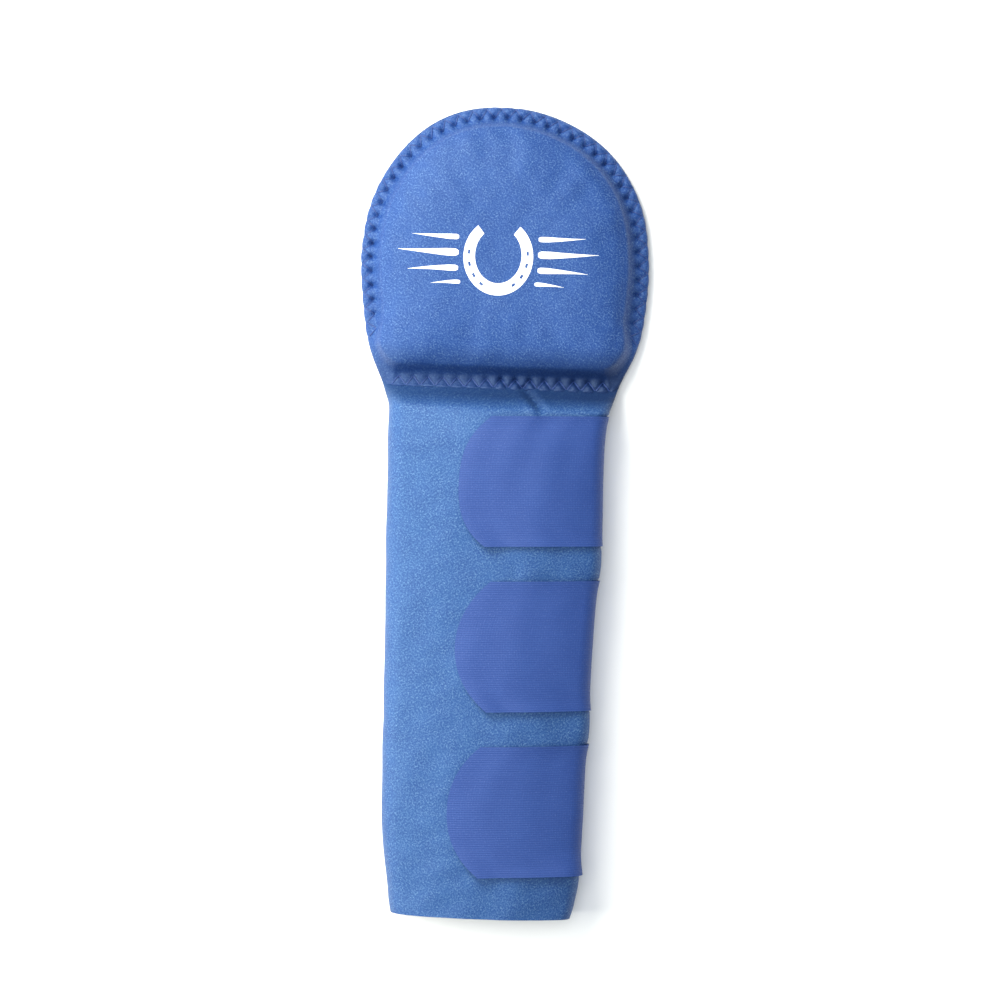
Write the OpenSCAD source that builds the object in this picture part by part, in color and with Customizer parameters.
// Horse tail wrap: a laminated neoprene sheet rolled into a flattened tube, closed by three
// hook-tape straps, with a round padded dock guard sewn to its upper end.
// It lies on its back: +X to the wearer's strap side, +Y towards the dock guard, +Z up.
// The origin is under the middle of its length and width. All sizes are in millimetres.

/* [Overall] */
// Length from the tube's lower edge to the top of the dock guard
total_len = 470; // [440:5:500]
// Width of the closed tube at its upper end
tube_w_top = 128; // [120:1:136]
// Width of the closed tube at its lower end, before the hem draws in
tube_w_low = 114; // [106:1:122]

/* [Laminate] */
// Thickness of the knitted face fabric
face_t = 0.6; // [0.4:0.1:0.8]
// Thickness of the neoprene foam between the two fabrics
foam_t = 3.7; // [2.5:0.1:4.5]
// Thickness of the lining fabric
lining_t = 0.6; // [0.4:0.1:0.8]

/* [Tube] */
// Radius of the rolled right side, at the middle of the laminate
side_radius = 8; // [7:0.5:9]
// Height of the front's arch above its two rolled sides
arch_rise = 8; // [4:0.5:10]
// Length of the edge that is tucked inside the tube
tuck_len = 34; // [20:1:40]

/* [Straps] */
// Width of the hook tape
strap_w = 75; // [70:1:80]
// Distance from one strap to the next
strap_pitch = 95; // [90:1:98]
// Distance of the middle strap from the middle of the length, down the tube
strap_mid_drop = 76.2; // [72:0.1:78]
// How far past the centreline the strap's free end reaches
strap_reach = 21.5; // [15:0.5:30]
// Radius of the strap's rounded free end
strap_end_r = 46; // [42:1:60]
// Lean of the straps from square across the tube, in degrees
strap_lean = 2.1; // [0:0.1:3]
// Thickness of the woven tape
tape_t = 1.1; // [0.9:0.1:1.3]
// Thickness of the hook field under the tape
hook_t = 0.9; // [0.7:0.1:1.1]
// Length of tape that is sewn to the back of the tube
root_len = 26; // [20:1:32]

/* [Dock guard] */
// Radius of the dock guard's round top
guard_r = 83.2; // [80:0.2:86]
// Thickness of the foam pad at its middle
pad_h = 14; // [10:0.5:16]
// Width of the flat stitched rim round the pad
rim_w = 8; // [6:0.5:10]
// Thickness of the foam in the padded cover
cover_foam_t = 2.3; // [1.8:0.1:2.8]

/* [Stitching] */
// Length of one zigzag, there and back
stitch_pitch = 8.5; // [7:0.5:10]
// Width of the zigzag
stitch_w = 6; // [4:0.5:7]
// Radius of the sewing thread
thread_r = 0.3; // [0.2:0.05:0.4]

/* [Hidden] */

blue = [0.20, 0.42, 0.78];
deep_blue = [0.16, 0.32, 0.70];
foam_black = [0.08, 0.08, 0.09];
print_white = [0.93, 0.94, 0.95];
pad_grey = [0.45, 0.46, 0.48];

skin_gap = 0.05;   // between two layers of one laminate
body_gap = 0.3;    // between a strap and the tube that it lies on
wing_lift = 1.9;   // how far the sewn straps raise the outer edge of the sheet
y_low = -total_len / 2;
y_top = total_len / 2;
tube_end = 60;     // upper end of the rolled tube
neck_y = 62;       // line on which the dock guard bends
guard_low = 64;    // lower edge of the dock guard's base
cover_low = 70;    // lower edge of the padded cover
hem_start = -185;  // below this the tube draws in towards its lower edge
hem_tuck = 5;
neck_start = 36;   // above this the front comes down towards the neck
neck_side_r = 5.5;
neck_rise = 5;

laminate_t = face_t + foam_t + lining_t + 2 * skin_gap;
wing_z = laminate_t / 2;
tuck_z = wing_z + wing_lift + laminate_t + body_gap;
face_side = laminate_t / 2;
foam_side = face_side - face_t - skin_gap;
lining_side = foam_side - foam_t - skin_gap;
hooks_in = face_side + body_gap;
tape_in = hooks_in + hook_t + skin_gap;
tape_out = tape_in + tape_t;

function lerp(a, b, t) = a + (b - a) * t;
function ease(t) = let (u = max(0, min(1, t))) u * u * (3 - 2 * u);
function unit(v) = v / norm(v);
function drop_last(list) = [for (i = [0 : len(list) - 2]) list[i]];

// Points on an arc about c, from angle a0 to a1
function arc(c, r, a0, a1, n) = [for (i = [0 : n]) let (a = lerp(a0, a1, i / n)) c + r * [cos(a), sin(a)]];

// ---- The tube's cross-section at height y: the middle line of the laminate ----

taper = (tube_w_top - tube_w_low) / 2 / (tube_end - y_low);
function half_w(y) = tube_w_top / 2 - taper * (tube_end - y)
    - hem_tuck * ease((hem_start - y) / (hem_start - y_low));
function neck_share(y) = ease((y - neck_start) / (tube_end + 4 - neck_start));
function side_r(y) = lerp(side_radius, neck_side_r, neck_share(y));
function rise(y) = lerp(arch_rise, neck_rise, neck_share(y));
function side_x(y) = half_w(y) - laminate_t / 2 - side_r(y);
function side_z(y) = tuck_z + side_r(y);
// Radius of the front's arch, which meets both sides smoothly
function arch_r(y) = side_r(y) + (pow(side_x(y), 2) + pow(rise(y), 2)) / 2 / rise(y);
function arch_z(y) = side_z(y) + rise(y) - (arch_r(y) - side_r(y));
function lean_in(y) = asin(side_x(y) / (arch_r(y) - side_r(y)));
// The left side is a larger roll, because the sheet goes on from it to the back
function left_r(y) =
    let (
        w = half_w(y) - laminate_t / 2,
        dz = wing_z - arch_z(y),
        big = arch_r(y),
        b = 2 * (big + dz - w),
        c = w * w + dz * dz - big * big
    ) (-b + sqrt(b * b - 4 * c)) / 2;
function left_x(y) = half_w(y) - laminate_t / 2 - left_r(y);
function wing_end(y) = side_x(y) + 0.5;
function wing_height(y, x) = wing_z + wing_lift * ease((x - side_x(y) + root_len + 16) / 14);

function sheet_line(y) =
    let (
        sx = side_x(y),
        sz = side_z(y),
        b = lean_in(y),
        lr = left_r(y),
        lx = left_x(y),
        lb = asin(lx / (arch_r(y) - lr))
    )
    concat(
        [for (t = [0, 0.35, 0.7]) [sx - tuck_len * (1 - t), tuck_z]],
        drop_last(arc([sx, sz], side_r(y), -90, 90 - b, 8)),
        drop_last(arc([0, arch_z(y)], arch_r(y), 90 - b, 90 + lb, 10)),
        arc([-lx, wing_z + lr], lr, 90 + lb, 270, 8),
        [for (t = [0.3, 0.5, 0.62, 0.72, 0.85, 1])
            let (x = lerp(-lx, wing_end(y), t)) [x, wing_height(y, x)]]
    );

// The outward side of a line of points: to the right of its direction of travel
function outward(line, i) =
    let (d = unit(line[min(i + 1, len(line) - 1)] - line[max(i - 1, 0)])) [d.y, -d.x];

// One row of points at height y, at a distance off from the laminate's middle
function sheet_row(y, off) =
    let (line = sheet_line(y))
    [for (i = [0 : len(line) - 1]) let (p = line[i] + off * outward(line, i)) [p.x, y, p.y]];

// ---- Closed solids from two matching grids of points ----

function cell(a, b, c, d, flip) = flip ? [[a, b, c], [a, c, d]] : [[a, c, b], [a, d, c]];
function flat_list(lists) = [for (l = lists) each l];

// A solid between an outer and an inner grid, each a list of rows of equal length
module slab(outer, inner) {
    rows = len(outer);
    cols = len(outer[0]);
    under = rows * cols;
    top = flat_list([for (i = [0 : rows - 2], j = [0 : cols - 2])
        cell(i * cols + j, i * cols + j + 1, (i + 1) * cols + j + 1, (i + 1) * cols + j, false)]);
    bottom = flat_list([for (i = [0 : rows - 2], j = [0 : cols - 2])
        cell(under + i * cols + j, under + i * cols + j + 1, under + (i + 1) * cols + j + 1,
            under + (i + 1) * cols + j, true)]);
    ends = flat_list([for (j = [0 : cols - 2]) concat(
        cell(j, j + 1, under + j + 1, under + j, true),
        cell((rows - 1) * cols + j, (rows - 1) * cols + j + 1, under + (rows - 1) * cols + j + 1,
            under + (rows - 1) * cols + j, false))]);
    sides = flat_list([for (i = [0 : rows - 2]) concat(
        cell(i * cols, (i + 1) * cols, under + (i + 1) * cols, under + i * cols, false),
        cell((i + 1) * cols - 1, (i + 2) * cols - 1, under + (i + 2) * cols - 1,
            under + (i + 1) * cols - 1, true))]);
    polyhedron(concat(flat_list(outer), flat_list(inner)), concat(top, bottom, ends, sides));
}

// A solid between two stacks of closed rings about one middle point each
module dome(upper, lower, upper_mid, lower_mid) {
    n = len(upper[0]);
    under = len(upper) * n;
    peak = under + len(lower) * n;
    function next(j) = (j + 1) % n;
    function bands(first, rings, flip) = flat_list([for (i = [0 : 1 : rings - 2], j = [0 : n - 1])
        cell(first + i * n + j, first + i * n + next(j), first + (i + 1) * n + next(j),
            first + (i + 1) * n + j, flip)]);
    caps = flat_list([for (j = [0 : n - 1]) [[peak, j, next(j)], [peak + 1, under + next(j), under + j]]]);
    edge = flat_list([for (j = [0 : n - 1])
        cell(under - n + j, under - n + next(j), peak - n + next(j), peak - n + j, false)]);
    polyhedron(
        concat(flat_list(upper), flat_list(lower), [upper_mid, lower_mid]),
        concat(caps, bands(0, len(upper), false), bands(under, len(lower), true), edge));
}

// ---- The rolled sheet ----

sheet_rows = [y_low, -222, -205, -185, -150, -90, -30, 36, 40, 44, 48, 52, 56, tube_end];

module sheet_layer(off_out, off_in) {
    slab([for (y = sheet_rows) sheet_row(y, off_out)], [for (y = sheet_rows) sheet_row(y, off_in)]);
}

module wrap_face() { color(blue) sheet_layer(face_side, face_side - face_t); }
module wrap_foam() { color(foam_black) sheet_layer(foam_side, foam_side - foam_t); }
module wrap_lining() { color(deep_blue) sheet_layer(lining_side, lining_side - lining_t); }

// ---- The straps: each peels on the line where it rounds the tube's right side ----

function strap_y(k) = strap_pitch * (2 - k) - strap_mid_drop;
// Where the free end lies at a distance v from the strap's own centreline
function free_x(v) = -strap_reach + strap_end_r - sqrt(pow(strap_end_r, 2) - v * v);
// Lean of the strap: how far a point at x moves down the tube
function leaned(x, y) = y + tan(strap_lean) * (x - half_w(y));

// Point j of a strap at height y: round the upper half of the side, then over the front
side_steps = 6;
front_steps = 8;
function strap_point(y, v, off, j) =
    let (
        b = lean_in(y),
        r = side_r(y) + off,
        big = arch_r(y) + off,
        a = lerp(asin(0.4 / r), 90 - b, j / side_steps),
        c = lerp(90 - b, acos(free_x(v) / big), (j - side_steps) / front_steps)
    )
    j < side_steps ? [side_x(y) + r * cos(a), side_z(y) + r * sin(a)]
        : [big * cos(c), arch_z(y) + big * sin(c)];

// Point j of a sewn end: round the lower half of the side, then under the sheet's outer edge
root_steps = 7;
function root_point(y, off, j) =
    let (
        r = side_r(y) + tape_in + off,
        z0 = 2 * thread_r + skin_gap + tape_t - off,
        drop = side_z(y) - z0,
        a = lerp(asin(0.4 / drop), 90, j / root_steps)
    )
    j <= root_steps ? [side_x(y) + r * cos(a), side_z(y) - drop * sin(a)]
        : [side_x(y) - root_len * (j - root_steps) / 2, z0];

function strap_row(k, v, off) = [for (j = [0 : side_steps + front_steps])
    let (
        y0 = strap_y(k) + v,
        y = leaned(strap_point(y0, v, off, j).x, y0),
        p = strap_point(y, v, off, j)
    ) [p.x, y, p.y]];
function root_row(k, v, off) = [for (j = [0 : root_steps + 2])
    let (
        y0 = strap_y(k) + v,
        y = leaned(root_point(y0, off, j).x, y0),
        p = root_point(y, off, j)
    ) [p.x, y, p.y]];

strap_v = [for (t = [-1, -0.82, -0.6, -0.3, 0, 0.3, 0.5, 0.63, 0.76, 0.88, 1]) t * strap_w / 2];

module strap_layer(k, off_out, off_in) {
    slab([for (v = strap_v) strap_row(k, v, off_out)], [for (v = strap_v) strap_row(k, v, off_in)]);
}

module strap_tape(k) { color(deep_blue) strap_layer(k, tape_out, tape_in); }
module strap_hooks(k) { color(blue) strap_layer(k, hooks_in + hook_t, hooks_in); }
module strap_root(k) {
    color(deep_blue)
        slab([for (v = strap_v) root_row(k, v, 0)], [for (v = strap_v) root_row(k, v, tape_t)]);
}

// ---- Stitching: every leg of a zigzag is a short bar of thread ----

module thread(a, b) {
    d = b - a;
    translate(a) rotate([0, acos(d.z / norm(d)), atan2(d.y, d.x)])
        cylinder(r = thread_r, h = norm(d), $fn = 16);
}

// Legs between two matching lists of needle holes, each leg kept short of the next
module zigzag(outer, inner) {
    for (i = [0 : len(outer) - 2]) {
        thread(lerp(outer[i], inner[i], 0.06), lerp(outer[i], inner[i], 0.94));
        thread(lerp(inner[i], outer[i + 1], 0.06), lerp(inner[i], outer[i + 1], 0.94));
    }
}

// Two rows of zigzag across each sewn strap end, on its outer face
module strap_stitching(k) {
    n = floor((strap_w - 8) / stitch_pitch);
    holes = [for (i = [0 : n]) strap_y(k) + (i - n / 2) * stitch_pitch];
    color(deep_blue) for (row = [4, root_len - stitch_w - 4]) zigzag(
        [for (y = holes) let (x = side_x(y) - row) [x, leaned(x, y), thread_r]],
        [for (y = holes) let (x = side_x(y) - row - stitch_w)
            [x, leaned(x, y) + stitch_pitch / 2, thread_r]]);
}

// ---- The dock guard ----

guard_mid = [0, 150];
round_mid = [0, y_top - guard_r];
flank_r = 700;
corner_r = 55;
flank_top = -2;      // direction of the outline's normal where the flank begins, in degrees
flank_end = -6;
corner_end = -29;
flank_mid = round_mid + (guard_r - flank_r) * [cos(flank_top), sin(flank_top)];
corner_mid = flank_mid + (flank_r - corner_r) * [cos(flank_end), sin(flank_end)];
shoulder = corner_mid + corner_r * [cos(corner_end), sin(corner_end)];

// Right half of the outline, from the top down to a cut at the given height
function guard_side(low) =
    let (foot = [shoulder.x - (shoulder.y - low) * tan(-corner_end), low])
    concat(
        drop_last(arc(round_mid, guard_r, 90, flank_top, 13)),
        drop_last(arc(flank_mid, flank_r, flank_top, flank_end, 3)),
        arc(corner_mid, corner_r, flank_end, corner_end, 4),
        [foot],
        [for (t = [0.8, 0.6, 0.4, 0.2]) [foot.x * t, low]]);

function guard_outline(low) =
    let (right = guard_side(low), n = len(right))
    concat(right, [[0, low]], [for (i = [n - 1 : -1 : 1]) [-right[i].x, right[i].y]]);

cover_edge = guard_outline(cover_low);
edge_n = len(cover_edge);

// Inward side of the outline, which runs clockwise
function inward(i) =
    let (d = unit(cover_edge[(i + 1) % edge_n] - cover_edge[(i + edge_n - 1) % edge_n])) [d.y, -d.x];
function inset(i, d) = cover_edge[i] + d * inward(i);

pad_edge = [for (i = [0 : edge_n - 1])
    inset(i, lerp(rim_w, rim_w + 4, ease((100 - cover_edge[i].y) / 20)))];

pad_rings = [0.3, 0.55, 0.72, 0.84, 0.92, 0.97, 1];
// Share of the pad's full height at a share s of the way out to its edge
function swell(s) = sqrt(max(0, 1 - pow(s, 4)));
function ring(s, z) = [for (p = pad_edge) let (q = lerp(guard_mid, p, s)) [q.x, q.y, z]];

base_top = lining_t + foam_t + face_t + 2 * skin_gap;
pad_z = base_top + skin_gap;

module guard_base(z, t) {
    translate([0, 0, z]) linear_extrude(t) polygon(guard_outline(guard_low));
}

module guard_lining() { color(deep_blue) guard_base(0, lining_t); }
module guard_base_foam() { color(foam_black) guard_base(lining_t + skin_gap, foam_t); }
module guard_base_face() { color(blue) guard_base(base_top - face_t, face_t); }

module guard_pad() {
    color(pad_grey) dome(
        [for (s = pad_rings) ring(s, pad_z + 0.4 + (pad_h - 0.4) * swell(s))],
        [ring(1, pad_z)],
        [guard_mid.x, guard_mid.y, pad_z + pad_h],
        [guard_mid.x, guard_mid.y, pad_z]);
}

// A layer of the cover, from z_in to z_out above the base where it lies flat on the rim
module cover_layer(z_in, z_out) {
    function rings(z) = concat(
        [for (s = pad_rings) ring(s, pad_z + z + 0.45 + (pad_h - 0.4) * swell(s))],
        [[for (p = cover_edge) [p.x, p.y, pad_z + z]]]);
    dome(rings(z_out), rings(z_in),
        [guard_mid.x, guard_mid.y, pad_z + z_out + pad_h + skin_gap],
        [guard_mid.x, guard_mid.y, pad_z + z_in + pad_h + skin_gap]);
}

cover_face_in = cover_foam_t + skin_gap;
cover_top = cover_face_in + face_t;
rim_z = pad_z + cover_top;

module guard_cover_foam() { color(foam_black) cover_layer(0, cover_foam_t); }
module guard_cover_face() { color(blue) cover_layer(cover_face_in, cover_top); }

// Zigzag round the rim, from one end of the neck seam to the other
rim_start_y = 92;
rim_lines = [for (d = [1.2, rim_w - 1]) [for (i = [0 : edge_n - 1]) inset(i, d)]];

function rim_run(line) =
    let (n = edge_n / 2, order = [for (i = [0 : edge_n - 1]) (i + n) % edge_n])
    [for (i = order) if (line[i].y > rim_start_y) line[i]];
function walk(line) = [for (i = 0, s = 0; i < len(line);
    s = s + (i + 1 < len(line) ? norm(line[i + 1] - line[i]) : 0), i = i + 1) s];
function along(line, s, at) =
    let (
        hits = [for (i = [0 : len(at) - 2]) if (at[i] <= s && s <= at[i + 1]) i],
        i = hits[0]
    ) lerp(line[i], line[i + 1], (s - at[i]) / (at[i + 1] - at[i]));
function needle_holes(line, n, first) =
    let (at = walk(line), whole = at[len(at) - 1])
    [for (i = [0 : n]) let (p = along(line, whole * (i + first) / (n + 0.5), at))
        [p.x, p.y, rim_z + thread_r + 0.55]];

module rim_stitching() {
    outer = rim_run(rim_lines[0]);
    inner = rim_run(rim_lines[1]);
    at = walk(outer);
    n = floor(at[len(at) - 1] / stitch_pitch);
    color(deep_blue) zigzag(needle_holes(outer, n, 0), needle_holes(inner, n, 0.5));
}

// Zigzag across the neck, over the lower edge of the cover
module neck_stitching() {
    n = floor(2 * (shoulder.x - 12) / stitch_pitch);
    xs = [for (i = [0 : n]) (i - n / 2) * stitch_pitch];
    z = rim_z + thread_r + 0.55;
    color(deep_blue) zigzag(
        [for (x = xs) [x, cover_low + 1, z]],
        [for (x = xs) [x + stitch_pitch / 2, cover_low + 1 + stitch_w, z]]);
}

// ---- Printed emblem: a plain horseshoe between two pairs of pointed bars ----

emblem_mid = [-3, 143];
shoe_r = 17;
shoe_web = 6.5;
print_t = 0.2;

function pad_share(p) =
    let (
        d = p - guard_mid,
        hits = [for (i = [0 : edge_n - 1])
            let (
                a = pad_edge[i] - guard_mid,
                b = pad_edge[(i + 1) % edge_n] - guard_mid,
                cross_ab = a.x * b.y - a.y * b.x,
                u = (d.x * b.y - d.y * b.x) / cross_ab,
                v = (a.x * d.y - a.y * d.x) / cross_ab
            ) if (u >= 0 && v >= 0) u + v]
    ) hits[0];
function print_z(p) = pad_z + cover_top + 0.45 + 0.35 + (pad_h - 0.4) * swell(pad_share(p));
function raised(row, h) = [for (p = row) [p.x, p.y, print_z(p) + h]];

// A flat strip of print between two rails of points
module print_strip(left, right) {
    slab([raised(left, print_t), raised(right, print_t)], [raised(left, 0), raised(right, 0)]);
}

function shoe_rail(r) = [for (a = [-235 : 16.25 : 55])
    emblem_mid + [r * cos(a), r * 1.12 * sin(a)]];

module emblem_print() {
    color(print_white) {
        print_strip(shoe_rail(shoe_r - shoe_web / 2), shoe_rail(shoe_r + shoe_web / 2));
        for (side = [-1, 1], bar = [[5, 34], [-4, 26]]) {
            y = emblem_mid.y + bar[0];
            x0 = emblem_mid.x + side * (shoe_r + shoe_web);
            xs = [for (t = [0 : 0.25 : 1]) x0 + side * bar[1] * t];
            half = [1.4, 1.6, 1.4, 0.9, 0.2];
            up = [for (i = [0 : 4]) [xs[i], y + half[i]]];
            down = [for (i = [0 : 4]) [xs[i], y - half[i]]];
            if (side > 0) print_strip(up, down);
            else print_strip(down, up);
        }
    }
}

wrap_face();
wrap_foam();
wrap_lining();
for (k = [1 : 3]) {
    strap_tape(k);
    strap_hooks(k);
    strap_root(k);
    strap_stitching(k);
}
guard_lining();
guard_base_foam();
guard_base_face();
guard_pad();
guard_cover_foam();
guard_cover_face();
rim_stitching();
neck_stitching();
emblem_print();
